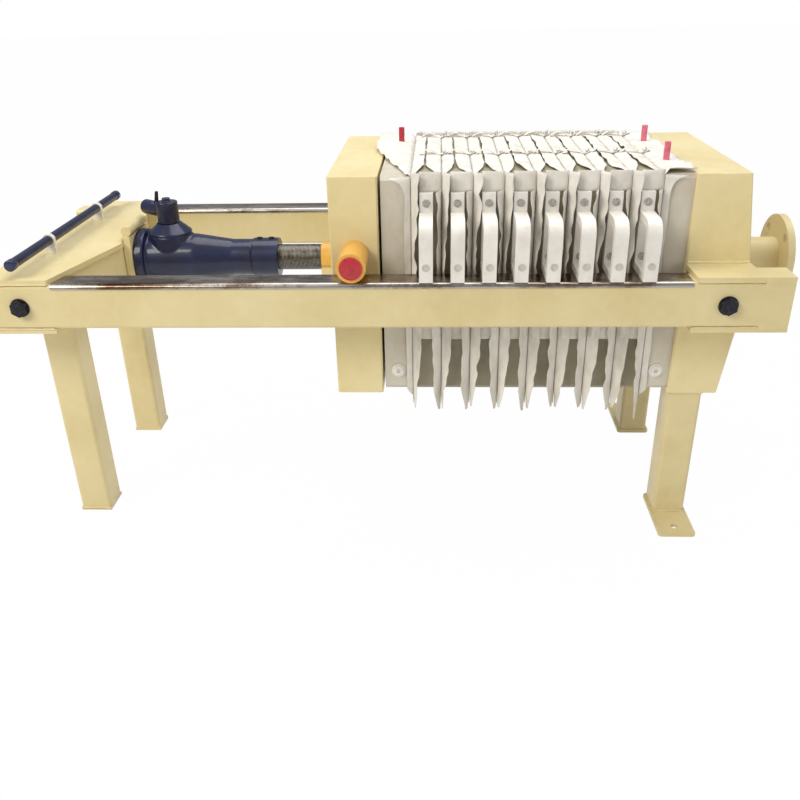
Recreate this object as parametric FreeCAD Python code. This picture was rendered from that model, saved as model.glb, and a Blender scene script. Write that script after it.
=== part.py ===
"""Manual plate filter press: ten filter plates clamped between two welded heads by a screw jack.

X runs along the side beams from the jack end to the feed end, Y from the front beam to the
rear beam, Z up from the floor. Lengths are in millimetres. The sub-parts are drawn about the
middle of the beams and shifted along X on export, so that the origin lies on the floor under
the middle of the whole machine.
"""
import FreeCAD, Part
import math
import os

from FreeCAD import Vector

# Side beams and rails
beam_length = 1600.0
beam_width = 60.0
beam_height = 90.0
beam_wall = 5.0
beam_corner = 6.5
overall_width = 648.0
rail_height = 588.0
strip_thickness = 2.0
strip_lip = 8.0
strip_end_gap = 6.0
strip_slant_gap = 2.0
end_cap = 3.0
cut_past = 1.0

# Plates that tie the beams together
tie_plate = 10.0
jack_plate_inset = 48.0
jack_plate_run = 128.0
jack_nose_half = 77.0
web_plate = 8.0
web_setback = 6.0

# Legs and feet
leg_side = 70.0
leg_wall = 5.0
leg_corner = 8.5
leg_inset = 95.0
jack_leg_from_end = 130.0
thrust_leg_offset = 5.0
jack_foot = 6.0
foot_thickness = 8.0
foot_margin = 5.0
foot_reach = 87.0
foot_hole = 16.0
foot_hole_from_leg = 58.0

# Thrust head, feed pipe and flange
thrust_face = 618.0
thrust_thickness = 102.0
thrust_swell = 23.0
head_side_gap = 31.0
head_margin = 3.0
head_edge = 3.0
head_centre_drop = 2.0
axis_drop = 46.0
feed_pipe_od = 76.0
feed_pipe_wall = 4.0
feed_pipe_length = 145.0
flange_od = 175.0
flange_thickness = 15.0
flange_pcd = 140.0
flange_hole = 18.0
flange_holes = 4
flange_step = 3.0

# Beam bolts
bolt_flats = 30.0
bolt_head = 12.5
bolt_shank = 20.0
bolt_nut_gap = 13.0
jack_bolt_from_end = 114.0
thrust_bolt_from_end = 119.0

# Press head and its lugs
press_thickness = 97.0
press_gap = 5.0
press_travel = 80.0
lid_thickness = 6.0
lug_od = 57.0
lug_wall = 6.5
lug_clearance = 0.3
cap_depth = 12.0
cap_proud = 3.0

# Filter plates, cloths and grips
plate_count = 8
plate_thickness = 57.7
plate_side_gap = 39.0
plate_corner = 8.0
cloth_gap = 2.2
cloth_thickness = 1.2
cloth_overhang = 9.0
cloth_tail = 46.0
cloth_tail_width = 60.0
chamber_rim = 32.0
chamber_depth = 10.0
feed_eye = 70.0
grip_width = 26.0
grip_pad_top = 150.0
grip_pad_bottom = 114.0
grip_pad_depth = 17.0
grip_foot_height = 14.0
grip_bar = 15.0
grip_round = 15.0
plug_diameter = 30.0
plug_proud = 7.0
plug_socket_flats = 12.0
plug_socket_depth = 5.0
plug_above_bottom = 44.0
pin_diameter = 13.0
pin_height = 38.0
head_pin_y = 116.0
tail_pin_y = 104.0

# Screw jack
seat_plate = 16.0
seat_half_width = 62.0
seat_above_rail = 18.0
seat_below_axis = 72.0
crossbar_diameter = 22.0
crossbar_length = 112.0
jack_base_radius = 66.0
jack_base_thickness = 22.0
jack_body_radius = 54.0
jack_body_length = 131.0
jack_taper_length = 83.0
jack_barrel_radius = 41.0
jack_barrel_length = 262.0
collar_length = 57.0
collar_radius = 43.5
screw_radius = 28.5
screw_clearance = 0.5
screw_in_barrel = 100.0
screw_spare = 18.0
screw_bore_spare = 10.0
socket_length = 49.0
socket_radius = 33.0
socket_bore_depth = 40.0
cradle_half_width = 37.0
cradle_drop = 46.0
cradle_height = 30.0
gear_from_base = 74.0
gear_radius = 48.0
gear_top_above_rail = 12.0
cover_rim = 4.0
cover_height = 24.0
cover_top_radius = 26.0
ratchet_clearance = 0.5
ratchet_radius = 24.0
ratchet_height = 46.0
ratchet_boss_radius = 9.0
ratchet_boss_height = 8.0
arm_rise = 2.0
arm_angle = 145.0
arm_length = 76.0
arm_radius = 16.5
arm_bore = 21.0
arm_bore_depth = 48.0
pawl_from_axis = 36.0
pawl_width = 9.0
pawl_thickness = 5.0
pawl_height = 27.0
pawl_tip_share = 0.6
pawl_lean = 6.0
pawl_seat_depth = 4.0
pawl_seat_length = 14.0

# Lever tube kept on the jack end plate
lever_length = 589.0
lever_od = 20.0
lever_wall = 2.5
lever_from_end = 110.0
lever_front_setback = 6.0
lever_above_plate = 28.0
clip_spacing = 274.0
clip_width = 9.0
clip_thickness = 2.0
clip_corner = 6.5

# Places worked out from the sizes above
half_length = beam_length / 2
half_width = overall_width / 2
beam_inner = half_width - beam_width
beam_top = rail_height - strip_thickness
beam_bottom = beam_top - beam_height
axis_height = rail_height - axis_drop
head_width = 2 * (beam_inner - head_side_gap)
plate_side = 2 * (beam_inner - plate_side_gap)
head_height = plate_side + 2 * head_margin
bolt_nut = head_side_gap - bolt_nut_gap
head_bottom = axis_height - head_height / 2 - head_centre_drop
head_top = head_bottom + head_height
jack_plate_x0 = -half_length + jack_plate_inset
jack_plate_x1 = jack_plate_x0 + jack_plate_run
pack_length = (plate_count + 2) * plate_thickness + (plate_count + 1) * cloth_gap
pack_start = thrust_face - pack_length
press_x1 = pack_start - press_gap
press_x0 = press_x1 - press_thickness
socket_x0 = press_x0 - socket_length
jack_length = jack_barrel_length + collar_length
screw_exposed = press_travel + screw_spare
jack_x0 = socket_x0 - screw_exposed - jack_length
seat_x0 = jack_x0 - seat_plate
gear_x = jack_x0 + gear_from_base
leg_outer = half_width - leg_inset
jack_leg_x = -half_length + jack_leg_from_end
thrust_leg_x = thrust_face + thrust_leg_offset + leg_side / 2
thrust_back = thrust_face + thrust_thickness + thrust_swell
feed_end = thrust_back + feed_pipe_length + flange_step
feed_bore = feed_pipe_od / 2 - feed_pipe_wall
middle_x = (feed_end - half_length) / 2


def box(x0, x1, y0, y1, z0, z1):
    return Part.makeBox(x1 - x0, y1 - y0, z1 - z0, Vector(x0, y0, z0))


def rod(radius, start, direction, length):
    return Part.makeCylinder(radius, length, Vector(*start), Vector(*direction))


def bore(radius, start, direction, length):
    """Cutting tool for a round hole, standing a little past both faces."""
    ahead = Vector(*direction) * cut_past
    return rod(radius, Vector(*start) - ahead, direction, length + 2 * cut_past)


def prism(points, z0, z1):
    """Upright prism on a plan outline."""
    corners = [Vector(x, y, z0) for x, y in points]
    face = Part.Face(Part.makePolygon(corners + corners[:1]))
    return face.extrude(Vector(0, 0, z1 - z0))


def turned(profile, start, axis):
    """Solid of revolution: profile gives (along, radius) pairs from the axis back to the axis."""
    points = [Vector(radius, 0, along) for along, radius in profile]
    face = Part.Face(Part.makePolygon(points + points[:1]))
    solid = face.revolve(Vector(0, 0, 0), Vector(0, 0, 1), 360)
    turn = FreeCAD.Rotation(Vector(0, 0, 1), Vector(*axis))
    solid.Placement = FreeCAD.Placement(Vector(*start), turn)
    return solid


def hexagon(flats, start, direction, length):
    across = flats / math.cos(math.pi / 6)
    corners = []
    for k in range(6):
        angle = math.radians(60 * k)
        corners.append(Vector(across / 2 * math.cos(angle), across / 2 * math.sin(angle), 0))
    face = Part.Face(Part.makePolygon(corners + corners[:1]))
    solid = face.extrude(Vector(0, 0, length))
    turn = FreeCAD.Rotation(Vector(0, 0, 1), Vector(*direction))
    solid.Placement = FreeCAD.Placement(Vector(*start), turn)
    return solid


def other_side(shape):
    """The same piece on the other side of the machine's middle plane."""
    return shape.mirror(Vector(0, 0, 0), Vector(0, 1, 0))


def both_sides(shape):
    return [shape, other_side(shape)]


def edges_along(shape, direction):
    """Straight edges of a shape that run along one direction."""
    found = []
    for edge in shape.Edges:
        if isinstance(edge.Curve, Part.Line):
            run = edge.Vertexes[-1].Point - edge.Vertexes[0].Point
            if run.cross(Vector(*direction)).Length < 1e-6:
                found.append(edge)
    return found


def save(name, *solids):
    """Write one node; several solids that share a node go into one file."""
    shape = solids[0] if len(solids) == 1 else Part.makeCompound(list(solids))
    shape = shape.copy()
    shape.translate(Vector(-middle_x, 0, 0))
    shape.exportStep("parts/" + name + ".step")


def square_tube(x0, x1, y0, y1, z0, z1, wall, corner, direction, end=0.0):
    """Hollow section with rounded corners; its ends are closed by plates of thickness end."""
    outer = box(x0, x1, y0, y1, z0, z1)
    outer = outer.makeFillet(corner, edges_along(outer, direction))
    dx, dy, dz = [end if component else wall for component in direction]
    return outer.cut(box(x0 + dx, x1 - dx, y0 + dy, y1 - dy, z0 + dz, z1 - dz))


# ---- frame -------------------------------------------------------------------------------

def bolt_centres():
    return (-half_length + jack_bolt_from_end, half_length - thrust_bolt_from_end)


def bolt_height():
    return beam_bottom + beam_height / 2


def side_beam():
    """Square tube closed by end plates welded on and ground flush, drilled for its two bolts."""
    tube = square_tube(-half_length, half_length, -half_width, -beam_inner,
                       beam_bottom, beam_top, beam_wall, beam_corner, (1, 0, 0), end_cap)
    for x in bolt_centres():
        tube = tube.cut(bore(bolt_shank / 2, (x, -half_width, bolt_height()), (0, 1, 0), beam_width))
    return tube


def rail_strip():
    """Folded stainless cap over the beam, its lips down both faces."""
    x0 = jack_plate_x1 + strip_end_gap
    x1 = thrust_face - strip_end_gap
    outer = box(x0, x1, -half_width - strip_thickness, -beam_inner + strip_thickness,
                rail_height - strip_lip - strip_thickness, rail_height)
    top_edges = [e for e in edges_along(outer, (1, 0, 0)) if e.Vertexes[0].Z > beam_top]
    outer = outer.makeFillet(beam_corner + strip_thickness, top_edges)
    beam = box(x0, x1, -half_width, -beam_inner, beam_bottom, beam_top)
    beam = beam.makeFillet(beam_corner, edges_along(beam, (1, 0, 0)))
    tie = prism(jack_end_outline(strip_slant_gap), beam_bottom, rail_height + cut_past)
    return outer.cut(beam).cut(tie)


def jack_end_outline(shift=0.0):
    """Plan of the tie plates: across both beams, drawn in to a nose at the jack seat."""
    side = half_width + (strip_thickness + cut_past if shift else 0)
    half = [(jack_plate_x0, -side), (jack_plate_x1 + shift, -side),
            (seat_x0 + shift, -jack_nose_half)]
    return half + [(x, -y) for x, y in reversed(half)]


def jack_end_plate(z0):
    return prism(jack_end_outline(), z0, z0 + tie_plate)


def jack_end_web():
    """Upright plate under the slanted edge, from the beam to the back of the seat plate."""
    run = Vector(seat_x0 - jack_plate_x1, half_width - jack_nose_half, 0).normalize()
    inward = Vector(-run.y, run.x, 0)
    start = Vector(jack_plate_x1, -half_width, 0) + inward * web_setback
    end = start + run * half_width
    corners = [start, end, end + inward * web_plate, start + inward * web_plate]
    strip = prism([(p.x, p.y) for p in corners], beam_bottom, beam_top)
    room = box(jack_plate_x0, seat_x0, -beam_inner, 0, beam_bottom, beam_top)
    return strip.common(room)


def jack_seat_plate():
    return box(seat_x0, jack_x0, -seat_half_width, seat_half_width,
               axis_height - seat_below_axis, rail_height + seat_above_rail)


def seat_crossbar():
    height = rail_height + seat_above_rail + crossbar_diameter / 2
    start = (seat_x0 + seat_plate / 2, -crossbar_length / 2, height)
    return rod(crossbar_diameter / 2, start, (0, 1, 0), crossbar_length)


def leg(x, z0, z1):
    y0 = -leg_outer
    return square_tube(x - leg_side / 2, x + leg_side / 2, y0, y0 + leg_side, z0, z1,
                       leg_wall, leg_corner, (0, 0, 1))


def thrust_foot():
    x0 = thrust_leg_x - leg_side / 2 - foot_margin
    x1 = thrust_leg_x + leg_side / 2 + foot_margin
    plate = box(x0, x1, -leg_outer - foot_reach, -leg_outer + leg_side + foot_margin,
                0, foot_thickness)
    plate = plate.makeChamfer(foot_margin, edges_along(plate, (0, 0, 1)))
    hole = (thrust_leg_x, -leg_outer - foot_hole_from_leg, 0)
    return plate.cut(bore(foot_hole / 2, hole, (0, 0, 1), foot_thickness))


def jack_foot_plate():
    x0 = jack_leg_x - leg_side / 2
    return box(x0, x0 + leg_side, -leg_outer, -leg_outer + leg_side, 0, jack_foot)


def thrust_ear(z0):
    """Plate on the beam with a tongue reaching in to the side of the thrust head."""
    outline = [(thrust_face, -half_width), (half_length, -half_width),
               (half_length, -beam_inner), (thrust_back, -beam_inner),
               (thrust_back, -head_width / 2), (thrust_face, -head_width / 2)]
    return prism(outline, z0, z0 + tie_plate)


def beam_bolts():
    """Bolt with its head outside the beam and its nut inside, one at each end of each beam."""
    bolts = []
    for x in bolt_centres():
        z = bolt_height()
        head = hexagon(bolt_flats, (x, -half_width - bolt_head, z), (0, 1, 0), bolt_head)
        shank = rod(bolt_shank / 2, (x, -half_width, z), (0, 1, 0), beam_width + bolt_nut)
        nut = hexagon(bolt_flats, (x, -beam_inner, z), (0, 1, 0), bolt_nut)
        bolts += both_sides(head.fuse([shank, nut]).removeSplitter())
    return bolts


# ---- heads -------------------------------------------------------------------------------

def thrust_head():
    """Welded box, deepest between the ears and tapering to its top and its bottom."""
    half = head_width / 2
    shallow = thrust_face + thrust_thickness
    outline = [(thrust_face, head_bottom), (shallow, head_bottom),
               (thrust_back, beam_bottom - tie_plate), (thrust_back, beam_top + tie_plate),
               (shallow, head_top), (thrust_face, head_top)]
    corners = [Vector(x, -half, z) for x, z in outline]
    body = Part.Face(Part.makePolygon(corners + corners[:1])).extrude(Vector(0, head_width, 0))
    body = body.makeChamfer(head_edge, [e for e in body.Edges if runs_up_a_side(e)])
    return body.cut(bore(feed_bore, (thrust_face, 0, axis_height), (1, 0, 0),
                         thrust_thickness + thrust_swell))


def runs_up_a_side(edge):
    """True for an edge on the front or rear side that isn't level."""
    run = edge.Vertexes[-1].Point - edge.Vertexes[0].Point
    return abs(run.y) < 1e-6 and abs(run.z) > 1e-6


def feed_pipe():
    start = (thrust_back, 0, axis_height)
    outer = rod(feed_pipe_od / 2, start, (1, 0, 0), feed_pipe_length)
    return outer.cut(bore(feed_bore, start, (1, 0, 0), feed_pipe_length))


def feed_flange():
    x0 = feed_end - flange_thickness
    disc = rod(flange_od / 2, (x0, 0, axis_height), (1, 0, 0), flange_thickness)
    disc = disc.cut(bore(feed_pipe_od / 2, (x0, 0, axis_height), (1, 0, 0), flange_thickness))
    for k in range(flange_holes):
        angle = math.radians(360 * (k + 0.5) / flange_holes)
        y = flange_pcd / 2 * math.cos(angle)
        z = axis_height + flange_pcd / 2 * math.sin(angle)
        disc = disc.cut(bore(flange_hole / 2, (x0, y, z), (1, 0, 0), flange_thickness))
    return disc


def press_head():
    half = head_width / 2
    body = box(press_x0, press_x1, -half, half, head_bottom, head_top - lid_thickness)
    return body.makeChamfer(head_edge, edges_along(body, (0, 0, 1)))


def press_head_lid():
    half = head_width / 2
    lid = box(press_x0, press_x1, -half, half, head_top - lid_thickness, head_top)
    return lid.makeChamfer(head_edge, edges_along(lid, (0, 0, 1)))


def press_head_lug():
    """Pipe stub that carries the head on the rail."""
    x = (press_x0 + press_x1) / 2
    z = rail_height + lug_clearance + lug_od / 2
    length = half_width - head_width / 2
    outer = rod(lug_od / 2, (x, -half_width, z), (0, 1, 0), length)
    return outer.cut(bore(lug_od / 2 - lug_wall, (x, -half_width, z), (0, 1, 0), length))


def lug_cap():
    """Plastic stopper pressed into the mouth of the lug."""
    x = (press_x0 + press_x1) / 2
    z = rail_height + lug_clearance + lug_od / 2
    radius = lug_od / 2 - lug_wall
    return rod(radius, (x, -half_width - cap_proud, z), (0, 1, 0), cap_proud + cap_depth)


# ---- filter plates -----------------------------------------------------------------------

def plate_x(index):
    """Left face of a plate: 0 is the head plate, plate_count + 1 the tail plate."""
    return pack_start + index * (plate_thickness + cloth_gap)


def plate(index, chambers):
    """Moulded plate with blunted corners and a shallow chamber on each side that filters."""
    x0 = plate_x(index)
    half = plate_side / 2
    body = box(x0, x0 + plate_thickness, -half, half, axis_height - half, axis_height + half)
    body = body.makeChamfer(plate_corner, edges_along(body, (1, 0, 0)))
    inner = half - chamber_rim
    for side in chambers:
        x = x0 if side < 0 else x0 + plate_thickness - chamber_depth
        pocket = box(x, x + chamber_depth, -inner, inner, axis_height - inner, axis_height + inner)
        body = body.cut(pocket)
    if index > 0:
        body = body.cut(bore(feed_eye / 2, (x0, 0, axis_height), (1, 0, 0), plate_thickness))
    return body


def grip(index):
    """D-shaped handle: a back strip screwed to the plate and a bar whose foot rides the rail."""
    x0 = plate_x(index) + (plate_thickness - grip_width) / 2
    wall = -plate_side / 2
    front = -half_width
    pad = wall - grip_pad_depth
    shoulder = rail_height + grip_pad_bottom
    outline = [(wall, rail_height), (front, rail_height), (front, shoulder), (pad, shoulder),
               (pad, rail_height + grip_pad_top), (wall, rail_height + grip_pad_top)]
    body = side_prism(outline, x0)
    body = body.makeFillet(grip_round + grip_bar, edges_at(body, front, shoulder))
    floor = rail_height + grip_foot_height
    shin = front + grip_bar
    roof = shoulder - grip_bar
    gap = side_prism([(shin, floor), (pad, floor), (pad, roof), (shin, roof)], x0)
    gap = gap.makeFillet(grip_round, edges_at(gap, shin, roof))
    return body.cut(gap)


def side_prism(outline, x0):
    """Prism along X on an outline of (y, z) points."""
    corners = [Vector(x0, y, z) for y, z in outline]
    face = Part.Face(Part.makePolygon(corners + corners[:1]))
    return face.extrude(Vector(grip_width, 0, 0))


def edges_at(shape, y, z):
    """Edges along X through one (y, z) point."""
    return [e for e in edges_along(shape, (1, 0, 0))
            if abs(e.Vertexes[0].Y - y) < 1e-6 and abs(e.Vertexes[0].Z - z) < 1e-6]


def filter_cloth(index):
    """Pair of cloths in the joint after a plate, standing out around it, with corner tails."""
    x0 = plate_x(index) + plate_thickness + (cloth_gap - cloth_thickness) / 2
    side = plate_side / 2 + cloth_overhang
    top = axis_height + side
    bottom = axis_height - side
    half = [(0, top), (-side, top), (-side, bottom - cloth_tail + cloth_overhang),
            (-side + cloth_tail_width, bottom), (0, bottom)]
    outline = half + [(-y, z) for y, z in reversed(half[1:-1])]
    corners = [Vector(x0, y, z) for y, z in outline]
    face = Part.Face(Part.makePolygon(corners + corners[:1]))
    return face.extrude(Vector(cloth_thickness, 0, 0))


def drain_plug(index):
    """Screwed plug with a hexagon socket, low on the side of an end plate."""
    x = plate_x(index) + plate_thickness / 2
    z = axis_height - plate_side / 2 + plug_above_bottom
    y = -plate_side / 2
    body = rod(plug_diameter / 2, (x, y - plug_proud, z), (0, 1, 0), plug_proud)
    mouth = (x, y - plug_proud - cut_past, z)
    return body.cut(hexagon(plug_socket_flats, mouth, (0, 1, 0), plug_socket_depth + cut_past))


def locating_pin(index, y):
    x = plate_x(index) + plate_thickness / 2
    top = axis_height + plate_side / 2
    return rod(pin_diameter / 2, (x, y, top), (0, 0, 1), pin_height)


# ---- screw jack --------------------------------------------------------------------------

def jack_housing():
    """Cast body: round base, gear case with its upright bore, barrel tapering to the nose."""
    start = (jack_x0, 0, axis_height)
    taper_end = jack_body_length + jack_taper_length
    profile = [(0, 0), (0, jack_base_radius), (jack_base_thickness, jack_base_radius),
               (jack_base_thickness, jack_body_radius), (jack_body_length, jack_body_radius),
               (taper_end, jack_barrel_radius),
               (jack_barrel_length, jack_barrel_radius), (jack_barrel_length, 0)]
    body = turned(profile, start, (1, 0, 0))
    case_height = rail_height + gear_top_above_rail - axis_height
    case = rod(gear_radius, (gear_x, 0, axis_height), (0, 0, 1), case_height)
    body = body.fuse(case).removeSplitter()
    return body.cut(screw_bore())


def screw_bore():
    """Blind bore for the screw, deep enough for the whole travel."""
    depth = screw_in_barrel + press_travel + screw_bore_spare
    start = (jack_x0 + jack_length - depth, 0, axis_height)
    return rod(screw_radius + screw_clearance, start, (1, 0, 0), depth + cut_past)


def jack_nose_collar():
    start = (jack_x0 + jack_barrel_length, 0, axis_height)
    return rod(collar_radius, start, (1, 0, 0), collar_length).cut(screw_bore())


def gear_cover_z():
    return rail_height + gear_top_above_rail


def jack_gear_cover():
    start = (gear_x, 0, gear_cover_z())
    profile = [(0, 0), (0, gear_radius), (cover_rim, gear_radius), (cover_height, cover_top_radius),
               (cover_height, 0)]
    return turned(profile, start, (0, 0, 1))


def ratchet_z():
    return gear_cover_z() + cover_height + ratchet_clearance


def arm_direction():
    angle = math.radians(arm_angle)
    return Vector(math.cos(angle), math.sin(angle), 0)


def ratchet_head():
    start = (gear_x, 0, ratchet_z())
    profile = [(0, 0), (0, ratchet_radius), (ratchet_height, ratchet_radius),
               (ratchet_height, ratchet_boss_radius),
               (ratchet_height + ratchet_boss_height, ratchet_boss_radius),
               (ratchet_height + ratchet_boss_height, 0)]
    return turned(profile, start, (0, 0, 1))


def arm_z():
    return ratchet_z() + ratchet_height / 2 + arm_rise


def on_arm(along, side, height):
    """Point given along the arm, to its side and above its middle."""
    run = arm_direction()
    across = Vector(-run.y, run.x, 0)
    return Vector(gear_x, 0, arm_z() + height) + run * along + across * side


def ratchet_arm():
    """Lever socket standing out of the ratchet head, with a flat on top where the pawl sits."""
    run = arm_direction()
    arm = rod(arm_radius, on_arm(0, 0, 0), run, arm_length)
    arm = arm.cut(rod(ratchet_radius, (gear_x, 0, ratchet_z()), (0, 0, 1), ratchet_height))
    seat_half = pawl_seat_length / 2
    plan = []
    for along, side in ((-1, -1), (1, -1), (1, 1), (-1, 1)):
        plan.append(on_arm(pawl_from_axis + along * seat_half, side * arm_radius, 0))
    seat = prism([(p.x, p.y) for p in plan], pawl_seat_z(), arm_z() + arm_radius + cut_past)
    mouth = on_arm(arm_length - arm_bore_depth, 0, 0)
    return arm.cut(seat).cut(rod(arm_bore / 2, mouth, run, arm_bore_depth + cut_past))


def pawl_seat_z():
    return arm_z() + arm_radius - pawl_seat_depth


def ratchet_pawl():
    """Tapered thumb lever on the flat of the socket, leaning back to the ratchet head."""
    rise = arm_radius - pawl_seat_depth
    foot = pawl_width / 2
    tip = foot * pawl_tip_share
    side = -pawl_thickness / 2
    corners = [on_arm(pawl_from_axis - foot, side, rise), on_arm(pawl_from_axis + foot, side, rise),
               on_arm(pawl_from_axis - pawl_lean + tip, side, rise + pawl_height),
               on_arm(pawl_from_axis - pawl_lean - tip, side, rise + pawl_height)]
    face = Part.Face(Part.makePolygon(corners + corners[:1]))
    return face.extrude(on_arm(0, pawl_thickness, 0) - on_arm(0, 0, 0))


def jack_screw():
    x0 = jack_x0 + jack_length - screw_in_barrel
    x1 = socket_x0 + socket_bore_depth
    return rod(screw_radius, (x0, 0, axis_height), (1, 0, 0), x1 - x0)


def screw_socket():
    """Round seat on the back of the press head that takes the end of the screw."""
    outer = rod(socket_radius, (socket_x0, 0, axis_height), (1, 0, 0), socket_length)
    return outer.cut(rod(screw_radius, (socket_x0, 0, axis_height), (1, 0, 0), socket_bore_depth))


def screw_cradle():
    block = box(socket_x0, press_x0, -cradle_half_width, cradle_half_width,
                axis_height - cradle_drop, axis_height - cradle_drop + cradle_height)
    return block.cut(rod(socket_radius, (socket_x0, 0, axis_height), (1, 0, 0), socket_length))


# ---- lever kept on the jack end plate ----------------------------------------------------

def lever_centre():
    return -half_length + lever_from_end, beam_top + tie_plate + lever_above_plate


def lever_tube():
    x, z = lever_centre()
    start = (x, -half_width + lever_front_setback, z)
    outer = rod(lever_od / 2, start, (0, 1, 0), lever_length)
    return outer.cut(bore(lever_od / 2 - lever_wall, start, (0, 1, 0), lever_length))


def lever_clip():
    """Upright block on the end plate, bored for the tube."""
    x, z = lever_centre()
    y0 = -clip_spacing / 2 - clip_width / 2
    half = lever_od / 2 + clip_thickness
    block = box(x - half, x + half, y0, y0 + clip_width, beam_top + tie_plate, z + half)
    top = [e for e in edges_along(block, (0, 1, 0)) if e.Vertexes[0].Z > z]
    block = block.makeChamfer(clip_corner, top)
    return block.cut(bore(lever_od / 2, (x, y0, z), (0, 1, 0), clip_width))


def build_frame():
    front = side_beam()
    save("front_side_beam", front)
    save("rear_side_beam", other_side(front))
    strip = rail_strip()
    save("front_rail_strip", strip)
    save("rear_rail_strip", other_side(strip))
    save("jack_end_top_plate", jack_end_plate(beam_top))
    save("jack_end_bottom_plate", jack_end_plate(beam_bottom - tie_plate))
    save("jack_end_webs", *both_sides(jack_end_web()))
    save("jack_seat_plate", jack_seat_plate())
    save("seat_crossbar", seat_crossbar())
    save("jack_end_legs", *both_sides(leg(jack_leg_x, jack_foot, beam_bottom - tie_plate)))
    save("jack_end_feet", *both_sides(jack_foot_plate()))
    save("thrust_end_legs", *both_sides(leg(thrust_leg_x, foot_thickness, head_bottom)))
    save("thrust_end_feet", *both_sides(thrust_foot()))
    save("thrust_top_ears", *both_sides(thrust_ear(beam_top)))
    save("thrust_bottom_ears", *both_sides(thrust_ear(beam_bottom - tie_plate)))
    save("beam_bolts", *beam_bolts())


def build_heads():
    save("thrust_head", thrust_head())
    save("feed_pipe", feed_pipe())
    save("feed_flange", feed_flange())
    save("press_head", press_head())
    save("press_head_lid", press_head_lid())
    save("press_head_lugs", *both_sides(press_head_lug()))
    save("lug_caps", *both_sides(lug_cap()))


def build_plates():
    last = plate_count + 1
    save("head_plate", plate(0, (1,)))
    for index in range(1, last):
        save("filter_plate_%d" % index, plate(index, (-1, 1)))
    save("tail_plate", plate(last, (-1,)))
    grips = [grip(index) for index in range(1, last)]
    save("front_grips", *grips)
    save("rear_grips", *[other_side(g) for g in grips])
    save("filter_cloths", *[filter_cloth(index) for index in range(last)])
    save("drain_plugs", *both_sides(drain_plug(0)), *both_sides(drain_plug(last)))
    save("locating_pins", locating_pin(0, head_pin_y), locating_pin(last, -tail_pin_y),
         locating_pin(last, tail_pin_y))


def build_jack():
    save("jack_housing", jack_housing())
    save("jack_nose_collar", jack_nose_collar())
    save("jack_gear_cover", jack_gear_cover())
    save("ratchet_head", ratchet_head())
    save("ratchet_arm", ratchet_arm())
    save("ratchet_pawl", ratchet_pawl())
    save("jack_screw", jack_screw())
    save("screw_socket", screw_socket())
    save("screw_cradle", screw_cradle())
    save("lever_tube", lever_tube())
    save("lever_clips", *both_sides(lever_clip()))


os.makedirs("parts", exist_ok=True)
build_frame()
build_heads()
build_plates()
build_jack()
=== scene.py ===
"""Looks for a manual plate filter press: enamelled frame, cast screw jack, filter plates in cloths.

Lengths are written in millimetres and turned to metres where a mesh is made. X runs from the
jack end to the feed end, Y from the front beam to the rear beam, Z up from the floor.
"""
import math

import bmesh
import bpy
from mathutils import Matrix, Vector, noise


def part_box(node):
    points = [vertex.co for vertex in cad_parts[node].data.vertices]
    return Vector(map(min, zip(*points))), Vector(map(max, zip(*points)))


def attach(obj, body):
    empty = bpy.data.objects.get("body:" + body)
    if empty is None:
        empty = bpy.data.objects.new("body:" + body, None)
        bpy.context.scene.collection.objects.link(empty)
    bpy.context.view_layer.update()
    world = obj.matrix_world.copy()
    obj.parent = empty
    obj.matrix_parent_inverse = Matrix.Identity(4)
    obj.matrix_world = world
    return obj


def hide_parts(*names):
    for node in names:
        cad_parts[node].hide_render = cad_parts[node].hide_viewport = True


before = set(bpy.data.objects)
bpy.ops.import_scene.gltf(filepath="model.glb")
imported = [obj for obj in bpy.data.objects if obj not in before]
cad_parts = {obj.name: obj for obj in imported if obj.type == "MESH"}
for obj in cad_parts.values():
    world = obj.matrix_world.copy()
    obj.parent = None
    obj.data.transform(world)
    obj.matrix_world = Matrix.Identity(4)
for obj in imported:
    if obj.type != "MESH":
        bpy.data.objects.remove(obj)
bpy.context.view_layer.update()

MM = 0.001
SMOOTH_ANGLE = math.radians(35)
WAVE_OF_A_METRE = 0.314  # scale at which a Wave texture repeats once a metre
NOISE_SWING = 1.7        # brings Perlin noise up to about 1 either way


# ---- small helpers -----------------------------------------------------------------------

def mm(*values):
    """A point or a size given in millimetres, in metres."""
    return Vector(v * MM for v in values)


def box_mm(node):
    """Lowest and highest corner of a node of the frame, in millimetres."""
    low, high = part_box(node)
    return low / MM, high / MM


def linear(hex_colour):
    """sRGB hex colour as linear RGBA."""
    channels = [int(hex_colour[i:i + 2], 16) / 255 for i in (1, 3, 5)]
    return [c / 12.92 if c <= 0.04045 else ((c + 0.055) / 1.055) ** 2.4 for c in channels] + [1.0]


def add(tree, kind, settings=None, inputs=None):
    """Adds a node, sets its properties, and sets or links its inputs."""
    node = tree.nodes.new(kind)
    for name, value in (settings or {}).items():
        setattr(node, name, value)
    for socket, value in (inputs or {}).items():
        if isinstance(value, bpy.types.NodeSocket):
            tree.links.new(value, node.inputs[socket])
        else:
            node.inputs[socket].default_value = value
    return node


def finish_material(name, **constants):
    """New Principled material, with its tree, its shader and the Object coordinates."""
    material = bpy.data.materials.new(name)
    material.use_nodes = True
    tree = material.node_tree
    shader = tree.nodes["Principled BSDF"]
    for socket, value in constants.items():
        shader.inputs[socket.replace("_", " ")].default_value = value
    place = add(tree, "ShaderNodeTexCoord").outputs["Object"]
    return material, tree, shader, place


def ramp(tree, factor, *stops):
    """Colour ramp with stops of (position, hex colour)."""
    node = add(tree, "ShaderNodeValToRGB", inputs={"Fac": factor})
    elements = node.color_ramp.elements
    while len(elements) < len(stops):
        elements.new(0.5)
    for element, (position, colour) in zip(elements, stops):
        element.position = position
        element.color = linear(colour)
    return node.outputs["Color"]


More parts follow.
